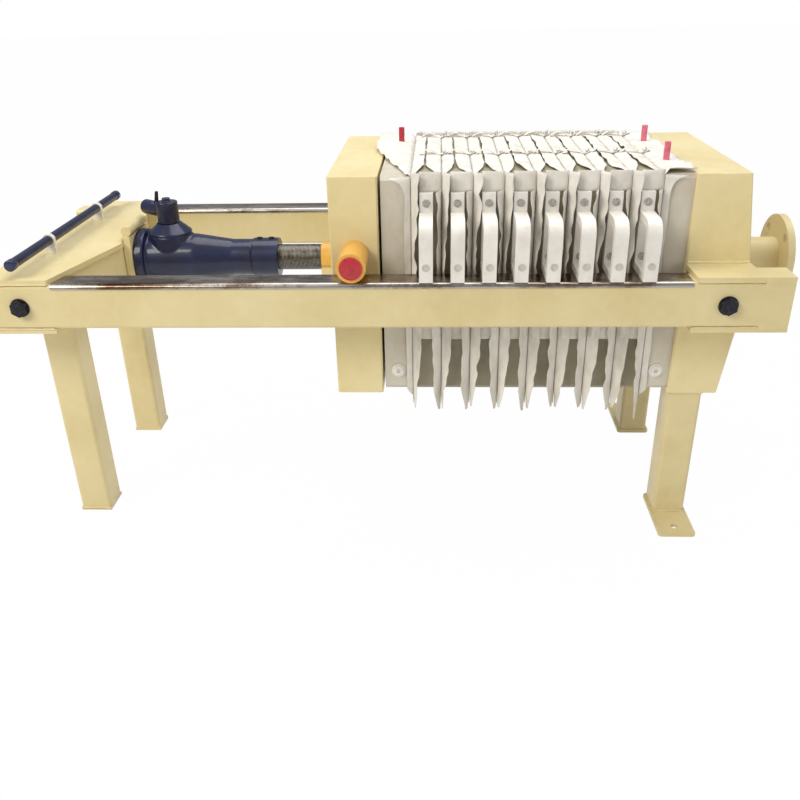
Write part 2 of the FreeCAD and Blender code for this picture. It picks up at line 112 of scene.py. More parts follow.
def spread(tree, factor, low, high, from_low=0.0, from_high=1.0):
    """Maps a factor onto the range low to high."""
    return add(tree, "ShaderNodeMapRange", inputs={
        "Value": factor, "From Min": from_low, "From Max": from_high,
        "To Min": low, "To Max": high}).outputs["Result"]


def speckle(tree, place, size_mm, detail=2.0, stretch=(1, 1, 1), rough=0.5):
    """Noise whose blobs are about size_mm across."""
    vector = add(tree, "ShaderNodeMapping", inputs={"Vector": place, "Scale": stretch})
    return add(tree, "ShaderNodeTexNoise", inputs={
        "Vector": vector.outputs["Vector"], "Scale": 1 / (size_mm * MM), "Detail": detail,
        "Roughness": rough}).outputs["Fac"]


def bump(tree, shader, height, distance_mm, strength=1.0):
    """Surface relief from a height factor, distance_mm deep."""
    node = add(tree, "ShaderNodeBump", inputs={
        "Height": height, "Distance": distance_mm * MM, "Strength": strength})
    tree.links.new(node.outputs["Normal"], shader.inputs["Normal"])


def feed(tree, shader, **sources):
    """Links sources to the shader's sockets of the same name."""
    for socket, source in sources.items():
        tree.links.new(source, shader.inputs[socket.replace("_", " ")])


# ---- materials ---------------------------------------------------------------------------

def cream_enamel(name="sprayed_cream_enamel", tones=("#D3C08B", "#DECD9A", "#E6D7A9")):
    """Sprayed alkyd enamel on mild steel: soft gloss, slight orange peel and uneven cover."""
    material, tree, shader, place = finish_material(
        name, Coat_Weight=0.12, Coat_Roughness=0.25, Specular_IOR_Level=0.32)
    cover = speckle(tree, place, 160, 3.0)
    grime = speckle(tree, place, 22, 5.0, rough=0.65)
    both = add(tree, "ShaderNodeMix", inputs={"Factor": 0.3, "A": cover, "B": grime})
    feed(tree, shader, Base_Color=ramp(tree, both.outputs["Result"],
                                       (0.28, tones[0]), (0.5, tones[1]), (0.75, tones[2])),
         Roughness=spread(tree, grime, 0.30, 0.46, 0.3, 0.7))
    bump(tree, shader, speckle(tree, place, 3.5, 1.0), 0.05, 0.35)
    return material


def bright_stainless():
    """Rolled 304 strip, walked over by the plates: long fine lines, scuffs, and brown patches that
    are painted reflection of the dark surroundings over oily smears.
    """
    material, tree, shader, place = finish_material("rolled_stainless", Metallic=1.0)
    lines = speckle(tree, place, 2.2, 3.0, (0.02, 1, 1))
    # Large patches: oily smears, and in the brown colour painted reflection of the dark
    # surroundings.
    dark_reflection_and_smears = speckle(tree, place, 60, 4.0, (0.35, 1, 1), 0.6)
    scuffs = speckle(tree, place, 9, 3.0, (0.6, 1, 1), 0.7)
    both = add(tree, "ShaderNodeMix", inputs={"Factor": 0.25, "A": dark_reflection_and_smears, "B": scuffs})
    feed(tree, shader,
         Base_Color=ramp(tree, both.outputs["Result"], (0.36, "#5A463A"), (0.46, "#83705F"),
                         (0.58, "#B9B2AA")),
         Roughness=spread(tree, dark_reflection_and_smears, 0.12, 0.34, 0.35, 0.65))
    bump(tree, shader, lines, 0.02, 0.25)
    return material


def black_oxide():
    """Black-oxide bolt steel: near black, satin, with a faint brown bloom."""
    material, tree, shader, place = finish_material("black_oxide_steel", Metallic=0.6)
    bloom = speckle(tree, place, 6, 3.0)
    feed(tree, shader, Base_Color=ramp(tree, bloom, (0.35, "#1A1B20"), (0.7, "#33323A")),
         Roughness=spread(tree, bloom, 0.32, 0.5))
    bump(tree, shader, speckle(tree, place, 1.2, 2.0), 0.04, 0.4)
    return material


def navy_casting(name="navy_enamel_on_cast_iron", grain=0.55):
    """Thick glossy enamel over sand-cast iron: the mould's grain shows under a wet shine."""
    material, tree, shader, place = finish_material(
        name, Coat_Weight=0.5, Coat_Roughness=0.12, Specular_IOR_Level=0.3)
    cast = speckle(tree, place, 7, 4.0, rough=0.6)
    patches = speckle(tree, place, 45, 2.0)
    feed(tree, shader, Base_Color=ramp(tree, patches, (0.3, "#0C1230"), (0.55, "#121A3E"),
                                       (0.8, "#1A244C")),
         Roughness=spread(tree, cast, 0.35, 0.55, 0.3, 0.7))
    bump(tree, shader, cast, grain, 0.5)
    return material


def worn_screw_steel():
    """Turned steel with old oil: dull grey, dark thread shadows round it, bright rubbed ridges."""
    material, tree, shader, place = finish_material("oiled_turned_steel", Metallic=1.0)
    rings = add(tree, "ShaderNodeTexWave", {"bands_direction": "X", "wave_profile": "SIN"}, {
        "Vector": place, "Scale": WAVE_OF_A_METRE / (3.0 * MM), "Distortion": 1.2, "Detail": 2.0,
        "Detail Scale": 3.0}).outputs["Fac"]
    dirt = speckle(tree, place, 14, 5.0, (1, 1, 1), 0.7)
    both = add(tree, "ShaderNodeMix", inputs={"Factor": 0.6, "A": rings, "B": dirt})
    feed(tree, shader,
         Base_Color=ramp(tree, both.outputs["Result"], (0.36, "#2E2A25"), (0.5, "#5F5A51"),
                         (0.68, "#938D82")),
         Roughness=spread(tree, dirt, 0.28, 0.55, 0.3, 0.7))
    bump(tree, shader, rings, 0.25, 0.5)
    return material


def polypropylene(name, tones, size=70):
    """Moulded white polypropylene: waxy, slightly see-through, with handling marks."""
    material, tree, shader, place = finish_material(
        name, Subsurface_Weight=0.08, Subsurface_Scale=0.004, Specular_IOR_Level=0.45)
    shader.inputs["Subsurface Radius"].default_value = (1.0, 0.9, 0.75)
    stains = speckle(tree, place, size, 4.0, (1, 1, 0.6), 0.6)
    feed(tree, shader, Base_Color=ramp(tree, stains, (0.3, tones[0]), (0.5, tones[1]),
                                       (0.7, tones[2])),
         Roughness=spread(tree, stains, 0.38, 0.55, 0.3, 0.7))
    bump(tree, shader, speckle(tree, place, 1.6, 2.0), 0.04, 0.3)
    return material


def filter_cloth(name="woven_filter_cloth", tones=("#CFC9BD", "#E1DCD2", "#EEEAE2")):
    """Plain-woven polyester, washed often: 1.6 mm threads, drawn coarse so that they show."""
    material, tree, shader, place = finish_material(
        name, Roughness=0.9, Sheen_Weight=0.25, Sheen_Roughness=0.5, Specular_IOR_Level=0.2)
    flat = add(tree, "ShaderNodeUVMap", {"uv_map": "cut"}).outputs["UV"]
    threads = []
    for direction in ("X", "Y"):
        lines = add(tree, "ShaderNodeTexWave", {"bands_direction": direction}, {
            "Vector": flat, "Scale": WAVE_OF_A_METRE / (1.6 * MM), "Distortion": 0.4})
        threads.append(lines.outputs["Fac"])
    weave = add(tree, "ShaderNodeMath", {"operation": "MULTIPLY"},
                {0: threads[0], 1: threads[1]}).outputs["Value"]
    stains = speckle(tree, place, 35, 4.0, (1, 1, 0.5), 0.6)
    feed(tree, shader, Base_Color=ramp(tree, stains, (0.28, tones[0]), (0.46, tones[1]),
                                       (0.7, tones[2])))
    creases = speckle(tree, place, 12, 3.0, (1, 1, 0.6), 0.55)
    height = add(tree, "ShaderNodeMix", inputs={"Factor": 0.75, "A": weave, "B": creases})
    bump(tree, shader, height.outputs["Result"], 0.9, 0.35)
    return material


def gloss_plastic(name, tones):
    """Injection-moulded polyethylene stopper: saturated, glossy, a little cloudy."""
    material, tree, shader, place = finish_material(
        name, Subsurface_Weight=0.05, Subsurface_Scale=0.003, Coat_Weight=0.4,
        Coat_Roughness=0.1)
    cloud = speckle(tree, place, 9, 3.0)
    feed(tree, shader, Base_Color=ramp(tree, cloud, (0.3, tones[0]), (0.7, tones[1])),
         Roughness=spread(tree, cloud, 0.2, 0.38))
    bump(tree, shader, speckle(tree, place, 2.5, 1.0), 0.03, 0.3)
    return material


def zinc_screw_steel():
    """Machined stainless screw head: grey, rubbed lighter and darker in small specks."""
    material, tree, shader, place = finish_material("machined_screw_steel", Metallic=1.0)
    rub = speckle(tree, place, 3, 3.0)
    feed(tree, shader, Base_Color=ramp(tree, rub, (0.3, "#8A8882"), (0.7, "#CFCDC7")),
         Roughness=spread(tree, rub, 0.25, 0.5))
    bump(tree, shader, rub, 0.05, 0.4)
    return material


CREAM = cream_enamel()
CREAM_HEAD = cream_enamel("sprayed_cream_enamel_heads", ("#DDCA93", "#E7D6A1", "#EEE0B2"))
# Deeper orange-yellow tones than the cream enamel, for the press head's lugs and the screw socket.
WARM_YELLOW = cream_enamel("deep_yellow_enamel", ("#D79A3C", "#E2AE52", "#EBC06A"))
STAINLESS = bright_stainless()
BLACK = black_oxide()
NAVY = navy_casting()
SCREW = worn_screw_steel()
PLATE = polypropylene("moulded_polypropylene", ("#C2B8A4", "#CFC7B6", "#D8D1C3"))
# Darker copy of the plate finish for the filter plates: painted shade, for the shadow they stand in
# between the cloths and grips.
SHADED_PLATE = polypropylene("shade_darkened_polypropylene", ("#8F8772", "#A1987F", "#ADA48F"))
GRIP = polypropylene("moulded_polypropylene_grips", ("#DCD6CB", "#E7E2DA", "#EFEBE4"), 40)
CLOTH = filter_cloth()
TAPE = filter_cloth("cotton_tie_tape", ("#D3CEC4", "#E2DED6", "#EDEAE4"))
RED = gloss_plastic("red_polyethylene", ("#A30C1C", "#C4182B"))
PINK = gloss_plastic("faded_red_polyethylene", ("#D2546A", "#E0758A"))
WHITE = polypropylene("white_nylon", ("#D9D6CC", "#E6E3DA", "#EFEDE6"), 20)
SCREW_HEAD = zinc_screw_steel()
PLUG_GREY = polypropylene("grey_nylon_plug", ("#B7B2A7", "#C6C1B6", "#D2CEC4"), 12)
NAVY_PLASTIC = gloss_plastic("navy_polyethylene_cap", ("#10183A", "#1B2450"))

NODE_FINISH = {
    "front_rail_strip": STAINLESS, "rear_rail_strip": STAINLESS, "beam_bolts": BLACK,
    "press_head": CREAM_HEAD, "press_head_lid": CREAM_HEAD, "thrust_head": CREAM_HEAD,
    "press_head_lugs": WARM_YELLOW, "screw_socket": WARM_YELLOW,
    "jack_housing": NAVY, "jack_nose_collar": NAVY, "jack_gear_cover": NAVY,
    "ratchet_head": NAVY, "ratchet_arm": NAVY, "lever_tube": NAVY,
    "ratchet_pawl": BLACK, "jack_screw": SCREW, "lug_caps": RED, "locating_pins": RED,
    "lever_clips": WHITE, "front_grips": GRIP, "rear_grips": GRIP, "drain_plugs": WHITE,
    "head_plate": PLATE, "tail_plate": PLATE, "filter_cloths": CLOTH,
}


def dress_frame_nodes():
    """Gives each piece of the frame its finish; what NODE_FINISH leaves out is cream enamel, save
    the filter plates, whose darker plate finish is painted shade.
    """
    for name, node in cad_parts.items():
        # Filter plates take the darker plate finish: painted shade.
        plain = SHADED_PLATE if name.startswith("filter_plate_") else CREAM
        finish = NODE_FINISH.get(name, plain)
        node.data.materials.clear()
        node.data.materials.append(finish)


# ---- filter cloths -----------------------------------------------------------------------

PLATES = ["head_plate"] + ["filter_plate_%d" % k for k in range(1, 9)] + ["tail_plate"]
plate_low, plate_high = box_mm("filter_plate_1")
HALF_PLATE = round(plate_high.y, 1)
PLATE_BOTTOM, PLATE_TOP = round(plate_low.z, 1), round(plate_high.z, 1)
CLOTH_THICKNESS = 0.6
FLAP_WIDTH = 27.0
TURN_RUN = 6.0          # length over which a flap turns from the joint to its lean
TOP_TURN_RUN = 5.0
TAIL_TIP = 275.0        # height of the tails' tips above the floor
LAST_TAIL_DROP = 22.0   # how much lower the last joint's tail hangs
TAIL_STEPS = 7
FLAP_STEP = 7.5
BAND_STEP = 6.5
BAND_WIDTH = 14.5
BAND_BOTTOM = 300.0
GRIP_CLEARANCE = 14.0   # how far a flap beside a grip may lie over its plate
LEFT_TOP_FLAP, RIGHT_TOP_FLAP = 25.0, 32.0
FRONT_TIES_Y, REAR_TIES_Y = -26.0, 188.0
TAPE_WIDTH, TAPE_THICKNESS = 12.0, 0.7


def along(stops, value):
    """Value read off a list of (place, value) stops, straight between them."""
    if value <= stops[0][0]:
        return stops[0][1]
    for (a, low), (b, high) in zip(stops, stops[1:]):
        if value <= b:
            return low + (high - low) * (value - a) / (b - a)
    return stops[-1][1]


def ripple(x, y, z, size):
    """Smooth noise from -1 to 1 whose waves are about size millimetres long."""
    return noise.noise(Vector((x / size, y / size, z / size))) * NOISE_SWING


class Cut:
    """Panels of one cloth: their points in space beside their places on the flat cut."""

    def __init__(self):
        self.points, self.flat, self.faces = [], [], []

    def panel(self, rows, flat_rows):
        start, wide = len(self.points), len(rows[0])
        for row, flat_row in zip(rows, flat_rows):
            self.points += row
            self.flat += flat_row
        for i in range(len(rows) - 1):
            for j in range(wide - 1):
                a = start + i * wide + j
                self.faces.append((a, a + 1, a + wide + 1, a + wide))

    def sew(self, name, material, thickness):
        """Joins the panels, gives the cloth its thickness and returns the piece."""
        mesh = bpy.data.meshes.new(name)
        mesh.from_pydata([Vector(p) * MM for p in self.points], [], self.faces)
        layer = mesh.uv_layers.new(name="cut")
        for loop in mesh.loops:
            u, v = self.flat[loop.vertex_index]
            layer.data[loop.index].uv = (u * MM, v * MM)
        piece = bpy.data.objects.new(name, mesh)
        bpy.context.scene.collection.objects.link(piece)
        work = bmesh.new()
        work.from_mesh(mesh)
        bmesh.ops.remove_doubles(work, verts=work.verts, dist=0.02 * MM)
        bmesh.ops.recalc_face_normals(work, faces=work.faces)
        for face in work.faces:
            face.smooth = True
        work.to_mesh(mesh)
        work.free()
        solid = piece.modifiers.new("thickness", "SOLIDIFY")
        solid.thickness = thickness * MM
        solid.offset = 0.0
        apply_modifier(piece, solid)
        mesh.materials.append(material)
        return piece


def make_active(piece):
    """Selects one piece alone and makes it the active one."""
    bpy.ops.object.select_all(action="DESELECT")
    piece.select_set(True)
    bpy.context.view_layer.objects.active = piece


def apply_modifier(piece, modifier):
    """Applies one modifier to a piece's mesh."""
    make_active(piece)
    bpy.ops.object.modifier_apply(modifier=modifier.name)


def flap_row(x, into, side, z, lean, width, phase, steps=9):
    """One row of a side flap: it leaves the joint straight out, then turns to its lean."""
    y = side * (HALF_PLATE - 1.0)
    row, flat = [(x, y, z)], [(side * (HALF_PLATE - 1.0), z)]
    run = width / steps
    x_now, y_now, done = x, y, 0.0
    for _ in range(steps):
        done += run
        turned = min(1.0, done / TURN_RUN)
        angle = math.radians(90 + (lean - 90) * turned * turned * (3 - 2 * turned))
        angle += 0.16 * ripple(x + phase, done * 0.8, z, 22) * turned
        x_now += into * math.cos(angle) * run
        y_now += side * math.sin(angle) * run
        row.append((x_now, y_now, z + 0.8 * ripple(x, done + phase, z, 15)))
        flat.append((side * (HALF_PLATE - 1.0 + done), z))
    return row, flat


def lean_stops(into, order):
    """How far a side flap stands off its plate, in degrees, at heights from the floor."""
    wide = min(1.0, order / 8)
    if into > 0:
        return [(317, 75 - 10 * wide), (360, 62 - 10 * wide), (430, 48 - 22 * wide),
                (480, 46 - 18 * wide), (500, 60), (560, 74), (600, 76), (650, 73), (700, 62),
                (738, 57), (778, 52)]
    return [(317, 50), (360, 48), (430, 42), (480, 42), (500, 55), (560, 70), (600, 72),
            (650, 74), (700, 68), (738, 60), (778, 58)]


def side_flap(cut, x, into, side, order, top):
    """Flap down one side of the pack, with the pointed tail that hangs from its lower corner."""
    stops = lean_stops(into, order)
    phase = 40.0 * order + (7.0 if into > 0 else 0.0) + (300.0 if side > 0 else 0.0)
    rows, flats = [], []
    z = top
    while z > PLATE_BOTTOM:
        lean = along(stops, z) + 4.0 * ripple(phase, side * 9.0, z, 70)
        width = FLAP_WIDTH + 0.8 * ripple(phase + 5.0, 0.0, z, 70)
        beside_grip = 588.0 < z < 745.0
        if beside_grip:
            lean = max(lean, math.degrees(math.acos(min(1.0, GRIP_CLEARANCE / width))))
        row, flat = flap_row(x, into, side, z, lean, width, phase)
        rows.append(row)
        flats.append(flat)
        z -= FLAP_STEP
    tip = TAIL_TIP - LAST_TAIL_DROP * (order == 8 and into < 0)
    tip += 7.0 * ripple(phase, 3.0, 1.0, 10)
    start_z, last, last_flat = z + FLAP_STEP, rows[-1], flats[-1]
    for k in range(1, TAIL_STEPS + 1):
        part = k / TAIL_STEPS
        z_now = start_z + (tip - start_z) * part
        row, flat = [], []
        for (px, py, _), (fs, _) in zip(last, last_flat):
            keep = 1.0 - 0.72 * part
            middle_x, middle_y = x + into * 3.0, side * (HALF_PLATE + 4.0)
            sway = 2.5 * ripple(phase, 20.0, z_now, 25) * part
            row.append((middle_x + (px - middle_x) * keep + sway * 0.5,
                        middle_y + (py - middle_y) * keep + sway, z_now))
            middle_s = side * (HALF_PLATE + 8.0)
            flat.append((middle_s + (fs - middle_s) * keep, z_now))
        rows.append(row)
        flats.append(flat)
    cut.panel(rows, flats)


def face_panel(cut, x, order):
    """The cloth between two plates, with a short hem and two corner points below them."""
    across = [side for side in range(-224, 225, 32)]
    rows, flats = [], []
    for z in [PLATE_TOP - 1.0] + list(range(740, 330, -30)) + [PLATE_BOTTOM]:
        rows.append([(x, y, z) for y in across])
        flats.append([(y, z) for y in across])
    hem = []
    for y in across:
        reach = max(0.0, (abs(y) - 150.0) / 75.0)
        hem.append(PLATE_BOTTOM - 4.0 - 32.0 * reach ** 1.6 + 2.0 * ripple(x, y, order, 20))
    rows.append([(x, y, z) for y, z in zip(across, hem)])
    flats.append([(y, z) for y, z in zip(across, hem)])
    cut.panel(rows, flats)


def top_row(x, into, y, width, lean, phase, rest, lift=0.0, steps=8):
    """One row of a top flap: up out of the joint, over, and down on what it rests on."""
    z = PLATE_TOP - 1.0
    row, flat = [(x, y, z)], [(y, PLATE_TOP - 1.0)]
    x_now, z_now, done, run = x, z, 0.0, width / steps
    for _ in range(steps):
        done += run
        turned = min(1.0, done / TOP_TURN_RUN)
        angle = math.radians(90 + (lean - 90) * turned)
        angle += 0.15 * ripple(x + phase, y, done, 34) * turned
        x_now += into * math.cos(angle) * run
        z_now += math.sin(angle) * run
        floor = rest + 2.6 + lift
        z_now = max(z_now, floor) if done > 4.0 else z_now
        row.append((x_now, y, z_now))
        flat.append((y, PLATE_TOP - 1.0 + done))
    return row, flat


def top_flap(cut, x, into, order, width, mitre, lean=8.0, rest=PLATE_TOP, stops=None, rise=0.0):
    """Flap along the top edge, as wide as width or as stops say, its corners cut by a mitre."""
    rows, flats = [], []
    y = -HALF_PLATE + 1.0
    while y <= HALF_PLATE:
        near = HALF_PLATE - abs(y)
        cut_back = along(mitre, near if y < 0 else 2.2 * near)
        wide = (along(stops, y) if stops else width) * cut_back
        wide = max(2.0, wide + 0.6 * ripple(order * 31.0, y, into, 50) * cut_back)
        lift = rise * math.exp(-near / 14.0) if y < 0 else 0.0
        row, flat = top_row(x, into, y, wide, lean + 5.0 * ripple(order, y, into * 5.0, 60),
                            order * 17.0, rest, lift)
        rows.append(row)
        flats.append(flat)
        y += 6.4
    cut.panel(rows, flats)


def folded_across(cut, x, side, order, top=775.5, drop=37.5, reach=43.0, stand=2.4):
    """Strip of a cloth folded flat across the plate's side, above the grip or by the beam."""
    rows, flats = [], []
    for i in range(9):
        z = top - drop * i / 8 + 0.7 * ripple(order, i * 3.0, side, 9)
        row, flat = [], []
        for j in range(9):
            part = j / 8
            low_cut = 5.0 * part * (1 - part) if i == 8 else 0.0
            off = stand + 2.2 * math.sin(math.pi * part) + 1.3 * ripple(order * 9.0, j * 4.0, z, 14)
            if j == 0:
                off = 0.9
            row.append((x - reach * part, side * (HALF_PLATE + max(0.9, off)), z - low_cut))
            flat.append((side * (HALF_PLATE + reach * part), z))
        rows.append(row)
        flats.append(flat)
    cut.panel(rows, flats)


def press_cloth(order, into):
    """Cloth on one face of a plate: into is +1 on its left face and -1 on its right face."""
    left = box_mm(PLATES[order - 1 if into > 0 else order])
    right = box_mm(PLATES[order if into > 0 else order + 1])
    joint = (left[1].x + right[0].x) / 2
    x = joint + into * 0.5
    cut = Cut()
    face_panel(cut, x, order)
    mitre = [(0.0, 0.25), (30.0, 0.5), (60.0, 0.85), (85.0, 1.0)]
    plain = [(0.0, 1.0), (225.0, 1.0)]
    if order == 0:
        edge = [(-225, 12.0), (-209, 13.0), (-67, 56.0), (37, 83.0), (232, 79.0)]
        top_flap(cut, x, into, order, 83.0, plain, 3.0, PLATE_TOP + 1.2, edge)
    elif order == 9:
        top_flap(cut, x, into, order, 58.0, plain, 4.0, PLATE_TOP + 0.4, rise=8.0)
    elif into > 0:
        top_flap(cut, x, into, order, LEFT_TOP_FLAP, mitre)
    else:
        top_flap(cut, x, into, order, RIGHT_TOP_FLAP, mitre)
    for side in (-1, 1):
        if order in (0, 9):
            end_band(cut, x, into, side, order)
        elif into > 0:
            side_flap(cut, x, into, side, order, 775.0)
        else:
            side_flap(cut, x, into, side, order, 741.0)
            folded_across(cut, x, side, order)
            folded_across(cut, x, side, order, top=476.0, drop=39.0, reach=54.0,
                          stand=7.0)
    name = "cloth_%s_%s" % (PLATES[order], "left" if into > 0 else "right")
    piece = cut.sew(name, CLOTH, CLOTH_THICKNESS)
    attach(piece, "root")
    if order == 0:
        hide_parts("filter_cloths")
    return piece


def end_band(cut, x, into, side, order):
    """Narrow turned edge of the cloth on an end plate, flat against the plate's side."""
    rows, flats = [], []
    phase = order * 13.0 + side
    z = PLATE_TOP - 1.0
    while z > BAND_BOTTOM:
        lean = 14.0 + 5.0 * ripple(phase, 0.0, z, 60)
        width = BAND_WIDTH + 1.4 * ripple(phase, 7.0, z, 50)
        width += (26.0 if order == 9 else 30.0) * math.exp(-(PLATE_TOP - 1.0 - z) / 10.0)
        if z <= PLATE_BOTTOM:
            width *= max(0.1, (z - BAND_BOTTOM) / (PLATE_BOTTOM - BAND_BOTTOM))
        row, flat = flap_row(x, into, side, z, lean, width, phase)
        rows.append(row)
        flats.append(flat)
        z -= BAND_STEP
    cut.panel(rows, flats)


# ---- ties --------------------------------------------------------------------------------

def ribbon(name, path, across, width, phase):
    """Tape that follows a path of points, its width lying along across."""
    cut = Cut()
    rows, flats, run = [], [], 0.0
    for k, point in enumerate(path):
        if k:
            run += (Vector(point) - Vector(path[k - 1])).length
        row, flat = [], []
        for j in range(5):
            part = j / 4 - 0.5
            twist = 0.25 * ripple(phase, k * 2.0, j, 7)
            row.append((point[0] + twist, point[1] + across * width * part,
                        point[2] + 0.9 * ripple(phase, k * 3.0, j * 4.0, 9) + 0.8 * part * part))
            flat.append((width * part, run))
        rows.append(row)
        flats.append(flat)
    cut.panel(rows, flats)
    piece = cut.sew(name, TAPE, TAPE_THICKNESS)
    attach(piece, "root")
    return piece


def tie_row(y_base, row_name, width):
    """Tapes that tie the two cloths of each plate together across its top."""
    for order in range(1, 9):
        low, high = box_mm(PLATES[order])
        y = y_base + 5.0 * ripple(order * 7.0, y_base, 0, 5)
        left, right = low.x + 11.0, high.x + 1.5
        path = []
        for k in range(13):
            part = k / 12
            arch = 9.0 * math.sin(math.pi * min(1.0, part * 1.25)) if part < 0.8 else 0.0
            path.append((left + (right - left) * part, y + 4.0 * part, 771.2 + arch))
        knot_x, knot_z = right + 4.0, 776.5
        for k in range(11):
            angle = math.radians(-110 + 38 * k)
            size = 5.2 - 0.22 * k
            path.append((knot_x + size * math.cos(angle), y + 4.0 + 0.5 * k,
                         knot_z + size * math.sin(angle)))
        path += [(knot_x + 8.0, y + 11.0, 773.0), (knot_x + 14.0, y + 13.0, 772.2)]
        ribbon("%s_%d" % (row_name, order), path, 1.0, width, order * 3.0 + y_base)


def make_cloths():
    """One cloth on each face of the plates that meet in the pack, and the ties on top."""
    press_cloth(0, -1)
    for order in range(1, 9):
        press_cloth(order, 1)
        press_cloth(order, -1)
    press_cloth(9, 1)
    tie_row(FRONT_TIES_Y, "front_tie", TAPE_WIDTH)
    tie_row(REAR_TIES_Y, "rear_tie", TAPE_WIDTH)


# ---- pieces of metal and plastic ---------------------------------------------------------

beam_low, beam_high = box_mm("front_side_beam")
BEAM_OUTER, BEAM_INNER = -round(beam_low.y, 1), -round(beam_high.y, 1)
BEAM_BOTTOM, BEAM_TOP = round(beam_low.z, 1), round(beam_high.z, 1)
BOLT_FLATS = 30.0       # M20 head
BOLT_HEAD = 12.5
STRIP_FACE = 242.0      # front of the grips' back strips, from the middle plane
GRIP_SCREW_TOP, GRIP_SCREW_GAP = 719.0, 105.0
GRIP_PLUG_FACE, GRIP_PLUG_Z = 324.2, 617.5
TAIL_PIN_Y, HEAD_PIN_Y = 104.0, 116.0
PIN_LENGTH = 38.0
WORKING_PLATES = 8


def turned_to(direction):
    """Rotation that points a primitive's Z along a direction."""
    return Vector(direction).to_track_quat("Z", "Y").to_euler()


def start_cylinder(name, radius, length, middle, direction=(0, 0, 1), sides=32):
    """Cylinder of given length about its middle; sides is its number of corners."""
    bpy.ops.object.select_all(action="DESELECT")
    bpy.ops.mesh.primitive_cylinder_add(vertices=sides, radius=radius * MM, depth=length * MM,
                                        location=mm(*middle), rotation=turned_to(direction))
    piece = bpy.context.object
    piece.name = name
    bpy.ops.object.transform_apply(location=True, rotation=True, scale=True)
    return piece


def start_block(name, low, high):
    """Block between two corners."""
    bpy.ops.object.select_all(action="DESELECT")
    size = Vector(high) - Vector(low)
    bpy.ops.mesh.primitive_cube_add(size=1, location=mm(*((Vector(low) + Vector(high)) / 2)),
                                    scale=size * MM)
    piece = bpy.context.object
    piece.name = name
    bpy.ops.object.transform_apply(location=True, rotation=True, scale=True)
    return piece


def pick_faces(piece, test):
    """Edit mode with only the faces selected whose centre and normal pass the test."""
    make_active(piece)
    bpy.ops.object.mode_set(mode="OBJECT")
    for part in (piece.data.vertices, piece.data.edges, piece.data.polygons):
        for item in part:
            item.select = False
    for face in piece.data.polygons:
        face.select = test(face.center / MM, face.normal)
    bpy.ops.object.mode_set(mode="EDIT")
    bpy.ops.mesh.select_mode(type="FACE")


def leave_edit():
    """Back from edit mode to object mode."""
    bpy.ops.object.mode_set(mode="OBJECT")


def facing(direction, least=0.99):
    """Test for pick_faces: faces that look along a direction."""
    aim = Vector(direction)
    return lambda centre, normal: normal.dot(aim) > least


def push(vector, length):
    """Moves what is selected along a vector."""
    bpy.ops.transform.translate(value=Vector(vector) * length * MM)


def soften(piece, width, segments=2, angle=30):
    """Rounds the edges sharper than an angle."""
    rounding = piece.modifiers.new("rounding", "BEVEL")
    rounding.width = width * MM
    rounding.segments = segments
    rounding.limit_method = "ANGLE"
    rounding.angle_limit = math.radians(angle)
    apply_modifier(piece, rounding)


def finish(piece, material, body, slot, replaces=(), angle=SMOOTH_ANGLE):
    """Smooth shading, finish, and the body the piece goes with; the slot argument is not used."""
    make_active(piece)
    bpy.ops.object.shade_smooth_by_angle(angle=angle)
    piece.data.materials.clear()
    piece.data.materials.append(material)
    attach(piece, body)
    if replaces:
        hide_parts(*replaces)
    return piece


def copy_to(piece, name, shift=(0, 0, 0), mirror_y=False):
    """Copy with its own mesh, shifted, or set on the other side of the middle plane."""
    other = piece.copy()
    other.data = piece.data.copy()
    other.name = name
    bpy.context.scene.collection.objects.link(other)
    move = Matrix.Translation(mm(*shift))
    if mirror_y:
        move = Matrix.Scale(-1, 4, (0, 1, 0)) @ move
    other.data.transform(move)
    if mirror_y:
        other.data.flip_normals()
    return other


def join(pieces, name):
    """Several pieces as one mesh with a new name."""
    make_active(pieces[0])
    for piece in pieces:
        piece.select_set(True)
    bpy.ops.object.join()
    joined = bpy.context.object
    joined.name = name
    return joined


def carve(piece, tool):
    """Cuts the tool's shape out of the piece and removes the tool."""
    cut = piece.modifiers.new("cut", "BOOLEAN")
    cut.operation = "DIFFERENCE"
    cut.solver = "EXACT"
    cut.object = tool
    apply_modifier(piece, cut)
    bpy.data.objects.remove(tool)


def nut_corner(name, flats, length, middle, direction):
    """Hexagon bar with turned corners at the end that direction points to."""
    bar = start_cylinder(name, flats / math.sqrt(3), length, middle, direction, 6)
    pick_faces(bar, facing(direction))
    bpy.ops.mesh.inset(thickness=1.9 * MM)
    leave_edit()
    pick_faces(bar, lambda centre, normal: normal.dot(Vector(direction)) > 0.99
               and (centre - Vector(middle)).cross(Vector(direction)).length < flats * 0.3)
    push(direction, 1.0)
    leave_edit()
    soften(bar, 0.5, 2, 20)
    return bar


